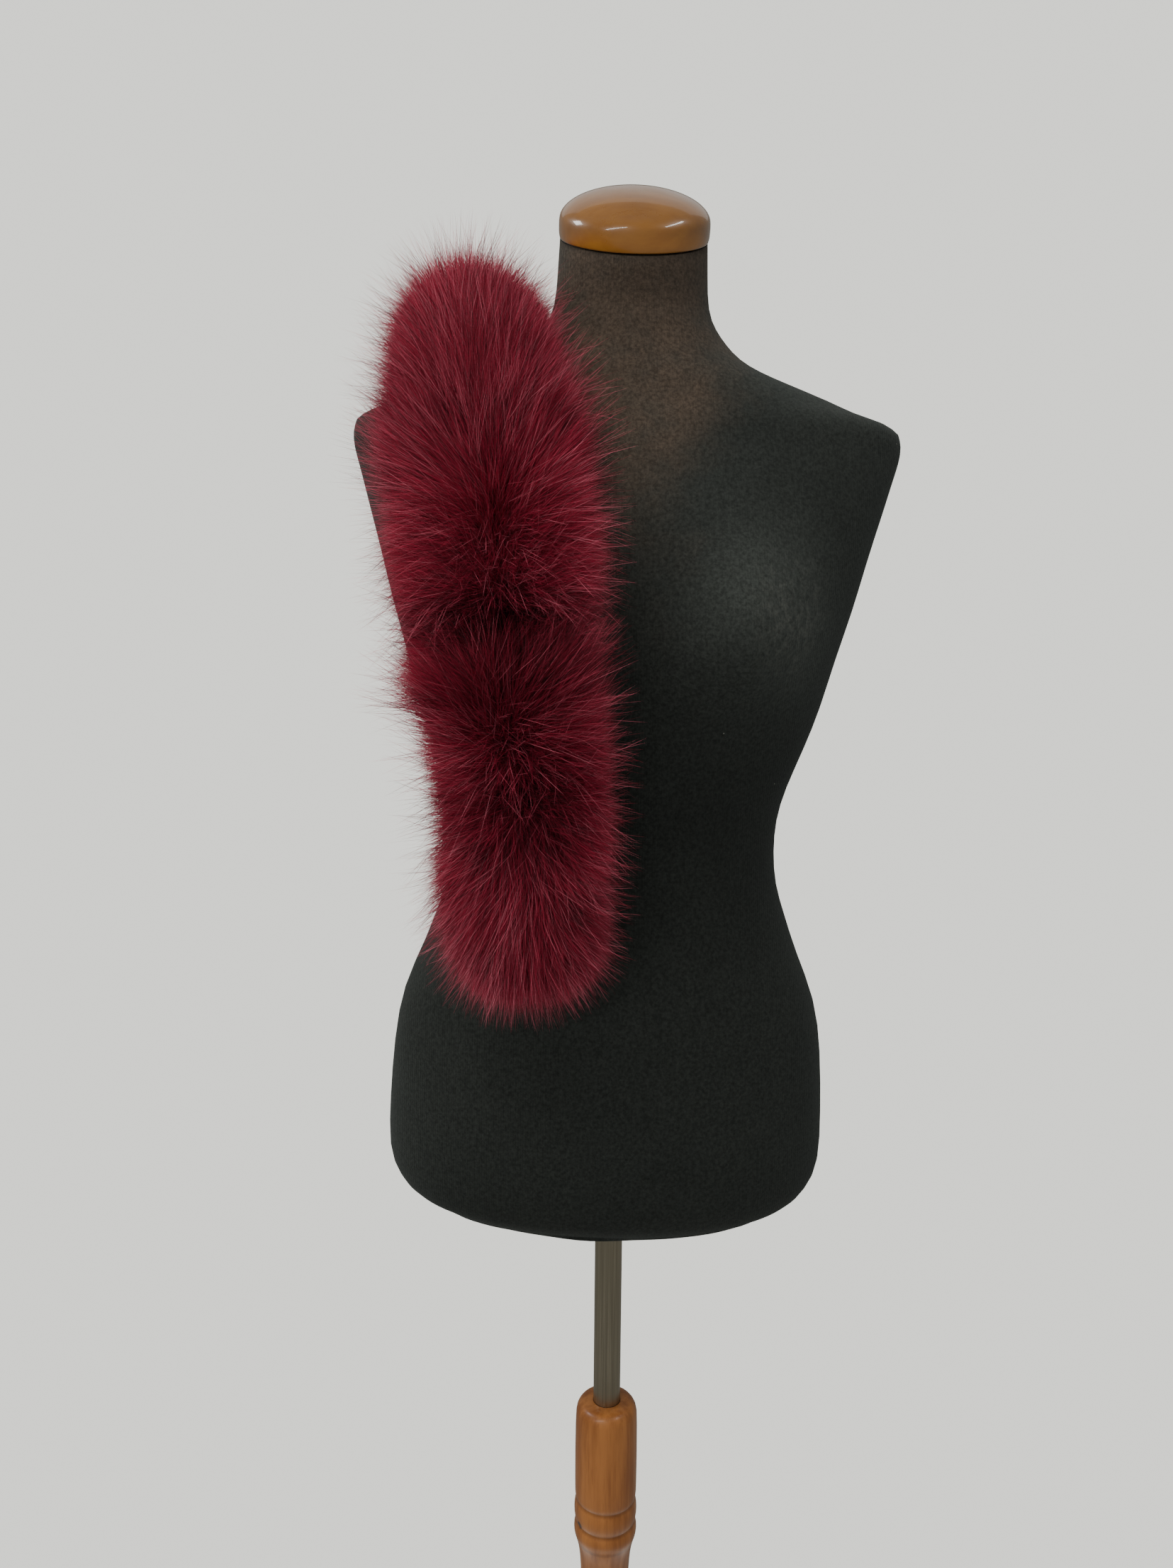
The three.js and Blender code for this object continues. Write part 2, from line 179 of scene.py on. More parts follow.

# Hollows and tufts: place along the strip, side from -1 to 1, size along in millimetres and
# across as a share, and what they add to the tone, the mess and the length. The tone they take
# off is painted shade in hollows and partings, partly the darker roots showing, and the tone
# they add is painted light on lit tufts.
SPOT_COLUMNS = ("place", "side", "along", "across", "tone", "mess", "full")
SPOTS = (
    (84, 1.00, 52, 0.60, 0.00, 0.00, -0.34),
    (68, 0.34, 12, 0.28, -0.16, 0.25, -0.20),
    (98, 0.36, 13, 0.24, -0.25, 0.25, -0.20),
    (136, 0.22, 9, 0.22, -0.26, 0.25, -0.24),
    (158, 0.10, 9, 0.24, -0.28, 0.35, -0.28),
    (180, -0.02, 8, 0.30, 0.06, 0.35, 0.05),
    (200, -0.22, 8, 0.16, -0.16, 0.10, -0.20),
    (212, -0.10, 10, 0.10, 0.20, 0.15, 0.02),
    (195, -1.00, 12, 0.40, 0.00, 0.00, 0.10),
    (198, -0.58, 36, 0.36, 0.16, 0.00, 0.00),
    (212, 0.60, 26, 0.32, -0.12, 0.00, 0.00),
    (112, 0.62, 30, 0.34, 0.13, 0.00, 0.00),
    (208, 0.04, 12, 0.36, -0.15, 0.00, 0.00),
    (222, 0.18, 9, 0.20, -0.24, 0.15, -0.28),
    (226, -0.30, 9, 0.16, -0.22, 0.15, -0.24),
    (219, 0.02, 7, 0.32, -0.14, 0.00, -0.16),
    (234, 0.04, 9, 0.42, -0.22, 0.10, -0.38),
    (251, 0.02, 11, 0.52, -0.46, 0.10, -0.60),
    (282, 0.10, 12, 0.30, -0.02, 0.65, -0.20),
    (332, 0.08, 10, 0.34, -0.03, 0.10, -0.06),
    (592, 0.00, 12, 0.45, -0.14, 0.20, -0.20),
    (714, -0.05, 13, 0.45, -0.16, 0.30, -0.24),
)

# The hide: a sheet that is drawn in at both ends and curled round a line a little nearer the
# form than the strip's middle line. At its ends it narrows over the tongue's length to the
# tongue's share of its full bend.
HIDE_INSET = 36
HIDE_BEND = 31
HIDE_DROP = -17
HIDE_CURL = math.radians(84)
HIDE_TONGUE = 30
HIDE_TONGUE_SHARE = 0.6
HIDE_THICK = 1.6
HIDE_GAP = 2.0

# How finely the middle line and the hide are divided
ROUTE_STEP = 2.0
SKIN_STEP = 6.0
SKIN_COLUMNS = 21

# How sharply hair turns at the parting, how much of its lean it loses at the strip's edges and
# how far its aim already shows at its root
PART_SHARP = 0.42
EDGE_LEVEL = 0.6
RISE_AIM = 0.45

# The lengths between which hair meets the dense outline
LONGEST_REACH = 64
SHORTEST_REACH = 12

# How much further loose hair goes: at the edges, over the shoulder and at the edge towards the
# shoulder's point. It sets in between the first two places along the strip and, where there
# are four, ends between the last two.
EDGE_WISPS = 1.5
CREST_WISPS = 1.1
CREST_PLACES = (330, 430)
SIDE_WISPS = 1.0
SIDE_PLACES = (70, 110, 280, 330)


class Route:
    """The strip's middle line in the world, in millimetres, sampled every ROUTE_STEP."""

    def __init__(self):
        columns = dict(zip(STRIP_COLUMNS, np.array(STRIP, float).T))
        knots = np.stack([columns[c] for c in "xyz"], 1)
        fine, at = self.spline(knots)
        distance = np.r_[0, np.cumsum(np.linalg.norm(np.diff(fine, axis=0), axis=1))]
        self.length = float(distance[-1])
        self.place = np.arange(0, self.length, ROUTE_STEP)
        knot = np.interp(self.place, distance, at)
        line = np.stack([np.interp(self.place, distance, fine[:, i]) for i in range(3)], 1)
        stations = np.arange(len(STRIP))
        self.half = np.interp(knot, stations, columns["half"])
        self.pile = np.interp(knot, stations, columns["pile"])
        tip = np.radians(np.interp(knot, stations, columns["tip"]))
        along = unit(np.gradient(line, axis=0))
        across = np.stack([np.cos(tip), 0 * tip, np.sin(tip)], 1)
        across = unit(across - along * (across * along).sum(1, keepdims=True))
        self.along = turned(along)
        self.across = turned(across)
        self.out = turned(unit(np.cross(across, along)))
        self.middle = turned(line - [0, 0, LEAN_PIVOT]) + [0, 0, UNDERSIDE + LEAN_PIVOT]

    @staticmethod
    def spline(knots, steps=24):
        """A Catmull-Rom curve through the knots, and where along the knots each point is."""
        first = 2 * knots[0] - knots[1]
        last = 2 * knots[-1] - knots[-2]
        padded = np.vstack([first, knots, last])
        share = np.arange(steps)[:, None] / steps
        points = []
        for a, b, c, d in zip(padded, padded[1:], padded[2:], padded[3:]):
            points.append(
                0.5 * (2 * b + (c - a) * share + (2 * a - 5 * b + 4 * c - d) * share**2
                       + (3 * b - a - 3 * c + d) * share**3)
            )
        line = np.vstack([*points, knots[-1:]])
        return line, np.arange(len(line)) / steps

    def at(self, values, place):
        """A measure or a direction of the route at places along it."""
        if values.ndim == 1:
            return np.interp(place, self.place, values)
        return np.stack([np.interp(place, self.place, values[:, i]) for i in range(3)], -1)

    def roundness(self, place):
        """The share of the full section that the dense hair has near each end."""
        to_end = np.clip(np.minimum(place, self.length - place), 0, END_ROUND)
        return np.maximum(1 - (1 - to_end / END_ROUND) ** END_SQUARE, 0) ** (1 / END_SQUARE)


def unit(vectors):
    return vectors / np.maximum(np.linalg.norm(vectors, axis=-1, keepdims=True), 1e-9)


def turned(vectors):
    """Directions of the form's own frame, turned by its lean."""
    x, y, z = np.moveaxis(vectors, -1, 0)
    c, s = math.cos(LEAN), math.sin(LEAN)
    return np.stack([x * c + z * s, y, z * c - x * s], -1)


def comb_at(place, side):
    """The comb's columns at places on the hide, with the hollows and tufts worked in."""
    columns = dict(zip(COMB_COLUMNS, np.array(COMB, float).T))
    comb = {c: np.interp(place, columns["place"], columns[c]) for c in COMB_COLUMNS[1:]}
    for row in SPOTS:
        spot = dict(zip(SPOT_COLUMNS, row))
        far = ((place - spot["place"]) / spot["along"]) ** 2
        far = far + ((side - spot["side"]) / spot["across"]) ** 2
        for name in ("tone", "mess", "full"):
            comb[name] = comb[name] + spot[name] * np.exp(-far)
    return comb


def hide_points(route, place, side):
    """Points of the hide, their normals and their sideways tangents, in millimetres."""
    tongue = np.clip(np.minimum(place, route.length - place) - HIDE_INSET, 0, HIDE_TONGUE)
    share = HIDE_TONGUE_SHARE + (1 - HIDE_TONGUE_SHARE) * np.sin(tongue / HIDE_TONGUE * math.pi / 2)
    turn = (side * HIDE_CURL)[..., None]
    bend = (HIDE_BEND * share)[..., None]
    out, across = route.at(route.out, place), route.at(route.across, place)
    normal = unit(out * np.cos(turn) + across * np.sin(turn))
    tangent = unit(across * np.cos(turn) - out * np.sin(turn))
    points = route.at(route.middle, place) + out * HIDE_DROP + normal * bend
    return points, normal, tangent


def off_form(points):
    """The outer face's points, moved out where the hide would come nearer the form than its gap."""
    graph = bpy.context.evaluated_depsgraph_get()
    form = BVHTree.FromObject(bpy.data.objects["jersey_form"], graph)
    moved = points.reshape(-1, 3).copy()
    for point in moved:
        place, normal, _, _ = form.find_nearest(point * MM)
        height = (Vector(point * MM) - place).dot(normal) / MM
        point += np.array(normal) * max(HIDE_GAP + HIDE_THICK - height, 0)
    return moved.reshape(points.shape)


def reach_of(route, place, points, aim):
    """How far hair goes along aim from points of the hide to the strip's dense outline."""
    middle = route.at(route.middle, place)
    out, across = route.at(route.out, place), route.at(route.across, place)
    along = route.at(route.along, place)
    start = points - middle
    reach = np.full(place.shape, float(LONGEST_REACH))
    for length in np.arange(LONGEST_REACH, SHORTEST_REACH, -1.0):
        where = start + aim * length
        then = place + (where * along).sum(-1)
        full = np.maximum(route.roundness(then), END_LEAST)
        wide = (where * across).sum(-1) / (route.at(route.half, then) * full)
        high = (where * out).sum(-1)
        high = high / np.where(high > 0, route.at(route.pile, then) * full, UNDER)
        reach = np.where(wide**2 + high**2 > 1, length, reach)
    return reach


def skin_grid(route, low, high):
    """The hide between two places as a grid of places and sides."""
    low = max(low, HIDE_INSET)
    high = min(high, route.length - HIDE_INSET)
    rows = max(4, round((high - low) / SKIN_STEP))
    return np.meshgrid(
        np.linspace(low, high, rows + 1), np.linspace(-1, 1, SKIN_COLUMNS), indexing="ij"
    )


def grid_mesh(name, points):
    """A mesh of a grid of points in millimetres, with its faces towards the hair."""
    rows, columns, _ = points.shape
    index = np.arange(rows * columns).reshape(rows, columns)
    faces = np.stack([index[:-1, :-1], index[:-1, 1:], index[1:, 1:], index[1:, :-1]], -1)
    mesh = bpy.data.meshes.new(name)
    mesh.from_pydata((points.reshape(-1, 3) * MM).tolist(), [], faces.reshape(-1, 4).tolist())
    mesh.update()
    return mesh


def add_attribute(mesh, name, values):
    """Stores a number or a direction for each point of a mesh."""
    vector = values.shape[-1] == 3 and values.ndim == 3
    kind, field = ("FLOAT_VECTOR", "vector") if vector else ("FLOAT", "value")
    attribute = mesh.attributes.new(name, kind, "POINT")
    attribute.data.foreach_set(field, values.astype(np.float32).ravel())


def skin_with_comb(route, name, low, high):
    """The outer face of one skin, carrying what the hair that grows from it needs."""
    place, side = skin_grid(route, low, high)
    points, normal, tangent = hide_points(route, place, side)
    comb = comb_at(place, side)
    level = 1 - EDGE_LEVEL * side**2
    spread = comb["out"] * np.tanh((side - comb["part"]) / PART_SHARP) * level
    aim = unit(
        normal * comb["stand"][..., None]
        + route.at(route.along, place) * (comb["up"] * level)[..., None]
        + tangent * spread[..., None]
    )
    crest = CREST_WISPS * np.interp(place, CREST_PLACES, (0, 1))
    outer = np.clip(-side, 0, 1) ** 2 * np.interp(place, SIDE_PLACES, (0, 1, 1, 0))
    carried = {
        "aim": aim,
        "rise": unit(normal + RISE_AIM * aim),
        "reach": reach_of(route, place, points, aim) * comb["full"] * MM,
        "top": reach_of(route, place, points, normal) * MM,
        "wisps": 1 + EDGE_WISPS * side**2 + crest,
        "loose": 1 + SIDE_WISPS * outer,
        "mess": comb["mess"],
        "tone": comb["tone"],
    }
    mesh = grid_mesh(name, off_form(points))
    for attribute, values in carried.items():
        add_attribute(mesh, attribute, values)
    return mesh


# Building node trees

class Nodes:
    """A node tree under construction. Each call adds a node and feeds its inputs."""

    def __init__(self, tree):
        self.tree = tree

    @staticmethod
    def socket(sockets, key):
        if isinstance(key, int):
            return sockets[key]
        return next(s for s in sockets if s.enabled and key in (s.name, s.identifier))

    def add(self, kind, inputs=None, **settings):
        node = self.tree.nodes.new(kind)
        for name, value in settings.items():
            setattr(node, name, value)
        for key, value in (inputs or {}).items():
            self.feed(self.socket(node.inputs, key), value)
        return node

    def feed(self, socket, value):
        if isinstance(value, bpy.types.Node):
            value = next(s for s in value.outputs if s.enabled)
        if isinstance(value, bpy.types.NodeSocket):
            self.tree.links.new(value, socket)
        else:
            socket.default_value = value

    def math(self, operation, *values):
        return self.add("ShaderNodeMath", dict(enumerate(values)), operation=operation)

    def plus(self, a, b):
        return self.math("ADD", a, b)

    def minus(self, a, b):
        return self.math("SUBTRACT", a, b)

    def times(self, a, b):
        return self.math("MULTIPLY", a, b)

    def vector(self, operation, *values, scale=None):
        inputs = dict(enumerate(values))
        if scale is not None:
            inputs["Scale"] = scale
        node = self.add("ShaderNodeVectorMath", inputs, operation=operation)
        number = operation in ("DOT_PRODUCT", "LENGTH")
        return self.socket(node.outputs, "Value" if number else "Vector")

    def scaled(self, vector, scale):
        return self.vector("SCALE", vector, scale=scale)

    def xyz(self, vector):
        return self.add("ShaderNodeSeparateXYZ", {0: vector}).outputs

    def mix(self, factor, a, b, blend="MIX"):
        inputs = {"Factor": factor, "A": a, "B": b}
        node = self.add("ShaderNodeMix", inputs, data_type="RGBA", blend_type=blend)
        return self.socket(node.outputs, "Result")

    def between(self, value, low, high, start=0.0, end=1.0):
        """value taken from the range low to high into start to end, smoothly and clamped."""
        return self.add(
            "ShaderNodeMapRange",
            {"Value": value, "From Min": low, "From Max": high, "To Min": start, "To Max": end},
            interpolation_type="SMOOTHSTEP",
        )

    def ramp(self, factor, stops):
        node = self.add("ShaderNodeValToRGB", {"Fac": factor})
        elements = node.color_ramp.elements
        while len(elements) < len(stops):
            elements.new(0.5)
        for element, (place, colour) in zip(elements, stops):
            element.position = place
            element.color = (*colour, 1)
        return self.socket(node.outputs, "Color")

    def noise(self, where, scale, detail=2.0, roughness=0.5, out="Fac"):
        inputs = {"Vector": where, "Scale": scale, "Detail": detail, "Roughness": roughness}
        return self.socket(self.add("ShaderNodeTexNoise", inputs).outputs, out)

    def cells(self, where, scale):
        inputs = {"Vector": where, "Scale": scale}
        return self.add("ShaderNodeTexVoronoi", inputs, feature="F1").outputs


def grey(value):
    return (value, value, value)


# Hair

# The hair tree's inputs, each a number unless its kind is given
HAIR_KINDS = {"Seed": "Int", "Segments": "Int", "Form": "Object", "Material": "Material"}
HAIR_INPUTS = (
    "Strands per square metre", "Seed", "Segments", "Width", "Shortest", "Longest", "Stray",
    "Furthest out", "Tone spread", "Scatter", "Lock pull", "Lock size", "Tuft pull", "Tuft size",
    "Form", "Clearance", "Material",
)

# A strand: how late it narrows, how near points are joined at its tip, how high its knee is as a
# share of its length and how wide it is on the bake map
TAPER_POWER = 2.2
TIP_MERGE = 0.0005
RISE_SHARE = 0.42
STRAND_COLUMN = 0.03

# How rare the longest strays are, the least rise that their height is worked out with and the
# least share of the tufts' pull that a strand takes
STRAY_POWER = 7.0
LEAST_RISE = 0.25
LEAST_PULL = 0.3

# The broad waves in the hair against its locks, the patches of tone on the whole coat, and the
# darkest and the lightest tone
SWAY_SCALE = 0.3
PATCH_SCALE = 55.0
TONE_PATCH = 0.28
TONE_ENDS = (0.02, 0.98)

# A strand's random draws, by what each adds to the seed
SCATTER_DRAW = 1
LENGTH_DRAW = 2
TONE_DRAW = 3
TWIST_DRAW = 4
PULL_DRAW = 5


class HairTree(Nodes):
    """Strands on a skin: tapering ribbons that leave the hide along rise and end along aim."""

    def __init__(self):
        super().__init__(bpy.data.node_groups.new("Hair", "GeometryNodeTree"))
        add_socket = self.tree.interface.new_socket
        add_socket(name="Geometry", in_out="INPUT", socket_type="NodeSocketGeometry")
        for name in HAIR_INPUTS:
            kind = "NodeSocket" + HAIR_KINDS.get(name, "Float")
            add_socket(name=name, in_out="INPUT", socket_type=kind)
        add_socket(name="Geometry", in_out="OUTPUT", socket_type="NodeSocketGeometry")
        self.given = self.add("NodeGroupInput").outputs
        strands = {"Points": self.roots(), "Instance": self.strand()}
        hair = self.add("GeometryNodeInstanceOnPoints", strands)
        hair = self.add("GeometryNodeRealizeInstances", {"Geometry": hair})
        where = self.off_form(self.bent())
        hair = self.add("GeometryNodeSetPosition", {"Geometry": hair, "Position": where})
        hair = self.stored(hair, "OFBake", self.bake_place(), "FLOAT2", "CORNER")
        finished = {"Geometry": hair, "Material": self.given["Material"]}
        hair = self.add("GeometryNodeSetMaterial", finished)
        self.add("NodeGroupOutput", {"Geometry": hair})

    def stored(self, geometry, name, value, kind="FLOAT_VECTOR", domain="POINT"):
        inputs = {"Geometry": geometry, "Name": name, "Value": value}
        return self.add(
            "GeometryNodeStoreNamedAttribute", inputs, data_type=kind, domain=domain
        )

    def number(self, name, kind="FLOAT"):
        return self.add("GeometryNodeInputNamedAttribute", {"Name": name}, data_type=kind)

    def direction(self, name):
        return self.number(name, "FLOAT_VECTOR")

    def random(self, low, high, draw, kind="FLOAT"):
        inputs = {"Min": low, "Max": high, "Seed": self.plus(self.given["Seed"], draw)}
        return self.add("FunctionNodeRandomValue", inputs, data_type=kind)

    def random_direction(self, draw):
        return self.random((-1, -1, -1), (1, 1, 1), draw, "FLOAT_VECTOR")

    def strand(self):
        """One flat strand, one unit long and wide, that tapers to a point."""
        rows = self.plus(self.given["Segments"], 1)
        size = {"Size X": 1.0, "Size Y": 1.0, "Vertices X": 2, "Vertices Y": rows}
        grid = self.add("GeometryNodeMeshGrid", size)
        corner = self.xyz(self.add("GeometryNodeInputPosition"))
        along = self.plus(corner["Y"], 0.5)
        taper = self.minus(1.0, self.math("POWER", along, TAPER_POWER))
        side = self.times(corner["X"], taper)
        strand = self.stored(grid.outputs["Mesh"], "along", along, "FLOAT")
        strand = self.stored(strand, "side", side, "FLOAT")
        mark = self.add("ShaderNodeCombineXYZ", {"X": corner["X"], "Y": along})
        strand = self.stored(strand, "mark", mark, domain="CORNER")
        flat = self.add("ShaderNodeCombineXYZ", {"X": side, "Y": along})
        strand = self.add("GeometryNodeSetPosition", {"Geometry": strand, "Position": flat})
        joined = {"Geometry": strand, "Distance": TIP_MERGE}
        return self.add("GeometryNodeMergeByDistance", joined)

    def roots(self):
        """Points on the skin that carry each strand's end, knee, twist and tone."""
        given = self.given
        density = given["Strands per square metre"]
        spread = self.add(
            "GeometryNodeDistributePointsOnFaces",
            {"Mesh": given["Geometry"], "Density": density, "Seed": given["Seed"]},
        )
        root = self.add("GeometryNodeInputPosition")
        aim = self.aim(root)
        length = self.length(aim, spread.outputs["Normal"])
        cell = self.cells(root, self.math("DIVIDE", 1.0, given["Tuft size"]))
        tuft = self.vector("SUBTRACT", self.socket(cell, "Position"), root)
        pulled = self.times(given["Tuft pull"], self.random(LEAST_PULL, 1.0, PULL_DRAW))
        tuft = self.scaled(tuft, pulled)
        carried = {
            "root": root,
            "end": self.vector("ADD", self.scaled(aim, length), tuft),
            "knee": self.scaled(self.direction("rise"), self.times(length, RISE_SHARE)),
            "twist": self.random_direction(TWIST_DRAW),
        }
        roots = spread.outputs["Points"]
        for name, value in carried.items():
            roots = self.stored(roots, name, value)
        return self.stored(roots, "shade", self.tone(root), "FLOAT")

    def aim(self, root):
        """The comb's direction, drawn into locks and scattered."""
        lock = self.math("DIVIDE", 1.0, self.given["Lock size"])
        coarse = self.noise(root, lock, 2.0, 0.6, "Color")
        broad = self.noise(root, self.times(lock, SWAY_SCALE), 1.0, 0.5, "Color")
        pull = self.vector("SUBTRACT", self.vector("ADD", coarse, broad), (1.0, 1.0, 1.0))
        pull = self.scaled(pull, self.times(self.given["Lock pull"], 2.0))
        messy = self.times(self.number("mess"), self.given["Scatter"])
        aim = self.vector("ADD", self.direction("aim"), pull)
        scattered = self.scaled(self.random_direction(SCATTER_DRAW), messy)
        aim = self.vector("ADD", aim, scattered)
        return self.vector("NORMALIZE", aim)

    def length(self, aim, normal):
        """How long each strand is. Strays go on past the dense outline, up to a limit."""
        given = self.given
        share = self.random(0.0, 1.0, LENGTH_DRAW)
        ends = {"Value": share, "To Min": given["Shortest"], "To Max": given["Longest"]}
        length = self.add("ShaderNodeMapRange", ends)
        loose = self.number("loose")
        stray = self.times(self.math("POWER", share, STRAY_POWER), given["Stray"])
        stray = self.times(stray, loose)
        reach = self.number("reach")
        length = self.times(self.plus(length, stray), reach)
        furthest = self.times(given["Furthest out"], self.number("wisps"))
        furthest = self.times(furthest, loose)
        length = self.math("MINIMUM", length, self.plus(reach, furthest))
        rising = self.math("MAXIMUM", self.vector("DOT_PRODUCT", aim, normal), LEAST_RISE)
        highest = self.plus(self.number("top"), furthest)
        return self.math("MINIMUM", length, self.math("DIVIDE", highest, rising))

    def tone(self, root):
        """The comb's tone, which carries painted shade and light, with patches and a shift for each
        strand, 0.5 being the middle.
        """
        patch = self.minus(self.noise(root, PATCH_SCALE, 3.0, 0.6), 0.5)
        tone = self.plus(self.number("tone"), self.times(patch, TONE_PATCH))
        shift = self.times(self.random(-0.5, 0.5, TONE_DRAW), self.given["Tone spread"])
        tone = self.plus(tone, self.plus(shift, 0.5))
        darkest, lightest = TONE_ENDS
        return self.add("ShaderNodeClamp", {"Value": tone, "Min": darkest, "Max": lightest})

    def bent(self):
        """Each strand's points on a quadratic curve from its root by its knee to its end."""
        t = self.number("along")
        rest = self.minus(1.0, t)
        knee, end = self.direction("knee"), self.direction("end")
        first = self.scaled(knee, self.times(self.times(t, rest), 2.0))
        second = self.scaled(end, self.times(t, t))
        line = self.vector("ADD", self.direction("root"), self.vector("ADD", first, second))
        turn = self.scaled(knee, self.minus(rest, t))
        turn = self.vector("ADD", turn, self.scaled(end, t))
        width = self.vector("CROSS_PRODUCT", turn, self.direction("twist"))
        wide = self.times(self.number("side"), self.given["Width"])
        return self.vector("ADD", line, self.scaled(self.vector("NORMALIZE", width), wide))

    def off_form(self, where):
        """Points moved out where they come nearer the form than the clearance."""
        form = self.add("GeometryNodeObjectInfo", {"Object": self.given["Form"]})
        form = form.outputs["Geometry"]
        near = self.add(
            "GeometryNodeProximity", {0: form, "Sample Position": where}, target_element="FACES"
        )
        normal = self.add("GeometryNodeInputNormal")
        face = self.add(
            "GeometryNodeSampleNearestSurface",
            {"Mesh": form, "Value": normal, "Sample Position": where},
            data_type="FLOAT_VECTOR",
        )
        outward = self.socket(face.outputs, "Value")
        away = self.vector("SUBTRACT", where, near.outputs["Position"])
        height = self.vector("DOT_PRODUCT", away, outward)
        lift = self.math("MAXIMUM", self.minus(self.given["Clearance"], height), 0.0)
        return self.vector("ADD", where, self.scaled(outward, lift))

    def bake_place(self):
        """A column of the bake map for each tone, with the strand's length up it."""
        mark = self.xyz(self.direction("mark"))
        column = self.plus(self.times(mark["X"], STRAND_COLUMN), self.number("shade"))
        return self.add("ShaderNodeCombineXYZ", {"X": column, "Y": mark["Y"]})


# What the strands carry only while they grow
SCRATCH_ATTRIBUTES = ("along", "side", "mark", "root", "end", "knee", "twist", "shade")


def grow(tree, name, skin, values):
    """A hair piece as a plain mesh, grown from a skin that is then removed."""
    ground = bpy.data.objects.new(name + "_ground", skin)
    bpy.context.scene.collection.objects.link(ground)
    modifier = ground.modifiers.new("Hair", "NODES")
    modifier.node_group = tree
    for item in tree.interface.items_tree:
        if item.item_type == "SOCKET" and item.in_out == "INPUT" and item.name in values:
            modifier[item.identifier] = values[item.name]
    mesh = evaluated_mesh(ground)
    for scratch in [a.name for a in mesh.attributes if a.name in SCRATCH_ATTRIBUTES]:
        mesh.attributes.remove(mesh.attributes[scratch])
    bpy.data.objects.remove(ground)
    bpy.data.meshes.remove(skin)
    if len(mesh.polygons) == 0:
        raise RuntimeError(f"{name} grew no hair")
    mesh.name = name
    return add_piece(name, mesh)


def evaluated_mesh(piece):
    """A piece's mesh with its modifiers applied."""
    graph = bpy.context.evaluated_depsgraph_get()
    return bpy.data.meshes.new_from_object(piece.evaluated_get(graph))


def add_piece(name, mesh):
    piece = bpy.data.objects.new(name, mesh)
    bpy.context.scene.collection.objects.link(piece)
    return piece


def new_material(name, **inputs):
    """A material, the tree it is built in and its shader, whose inputs are named in snake case."""
    material = bpy.data.materials.new(name)
    material.use_nodes = True
    n = Nodes(material.node_tree)
    shader = material.node_tree.nodes["Principled BSDF"]
    names = {s.name.lower().replace(" ", "_"): s for s in shader.inputs}
    for key, value in inputs.items():
        names[key].default_value = value
    return material, n, shader


def hair_material(name, tones, along, roughness, sheen):
    """Dyed hair: the tone picks its colour and carries painted shade and light. Along the strand it
    is painted darker at the root as shade deep in the coat, and lighter at the tip, partly its own
    paler tip and partly a painted highlight.
    """
    material, n, shader = new_material(
        name, roughness=roughness, specular_ior_level=0.35, sheen_weight=sheen,
        sheen_roughness=0.4, sheen_tint=(*shade(220, 90, 120), 1),
    )
    place = n.xyz(n.add("ShaderNodeUVMap", uv_map="OFBake"))
    dye = n.ramp(place["X"], tones)
    # Painted shade deep in the coat: darker towards the root, lighter at the tip, partly its own
    # paler tip and partly a painted highlight
    depth = n.ramp(place["Y"], along)
    n.feed(shader.inputs["Base Color"], n.mix(1.0, dye, depth, "MULTIPLY"))
    return material


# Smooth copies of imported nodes

SHARP = math.radians(38)
SAME_POINT = 2e-5
JOIN_FACES = {
    "angle_face_threshold": math.radians(30),
    "angle_shape_threshold": math.radians(50),
}


def coordinates(mesh):
    flat = np.empty(len(mesh.vertices) * 3, np.float32)
    mesh.vertices.foreach_get("co", flat)
    return flat.reshape(-1, 3)


def smooth_copy(name, node, levels, fit_steps=0):
    """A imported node's mesh, merged, joined into quads and subdivided with its sharp edges kept.

    Subdivision pulls a mesh in, so fit_steps times its points are moved out towards the old ones.
    """
    mesh = frame["nodes"][node].data.copy()
    mesh.name = name
    work = bmesh.new()
    work.from_mesh(mesh)
    bmesh.ops.remove_doubles(work, verts=work.verts, dist=SAME_POINT)
    bmesh.ops.join_triangles(work, faces=work.faces, **JOIN_FACES)
    crease = work.edges.layers.float.new("crease_edge")
    for edge in work.edges:
        if len(edge.link_faces) == 2 and edge.calc_face_angle() > SHARP:
            edge[crease] = 1.0
    work.to_mesh(mesh)
    work.free()
    rough = bpy.data.objects.new(name + "_rough", mesh)
    bpy.context.scene.collection.objects.link(rough)
    subdivide = rough.modifiers.new("Subdivide", "SUBSURF")
    subdivide.levels = levels
    subdivide.render_levels = levels
    wanted = coordinates(mesh)
    for _ in range(fit_steps):
        fine = evaluated_mesh(rough)
        short = wanted - coordinates(fine)[: len(wanted)]
        mesh.vertices.foreach_set("co", (coordinates(mesh) + short).ravel())
        mesh.update()
        bpy.data.meshes.remove(fine)
    fine = evaluated_mesh(rough)
    bpy.data.objects.remove(rough)
    fine.name = name
    for attribute in [a.name for a in fine.attributes if a.name == "crease_edge"]:
        fine.attributes.remove(fine.attributes[attribute])
    fine.shade_smooth()
    fine.set_sharp_from_angle(angle=SHARP)
    fine.materials.clear()
    piece = add_piece(name, fine)
    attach(piece, BODY)
    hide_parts(node)
    return piece


def object_place(n):
    return n.add("ShaderNodeTexCoord").outputs["Object"]


def stretched(n, where, x, y, z):
    return n.vector("MULTIPLY", where, (x, y, z))


def set_bump(n, shader, height, strength, distance):
    bump = n.add("ShaderNodeBump", {"Strength": strength, "Distance": distance, "Height": height})
    n.feed(shader.inputs["Normal"], bump)


def specks(n, where, scale, rarity, size, core):
    """Dots in a few cells of a cell pattern, solid inside their core."""
    cell = n.cells(where, scale)
    chosen = n.math("GREATER_THAN", n.xyz(cell["Color"])["X"], rarity)
    return n.times(n.between(cell["Distance"], size, core), chosen)


# Settings

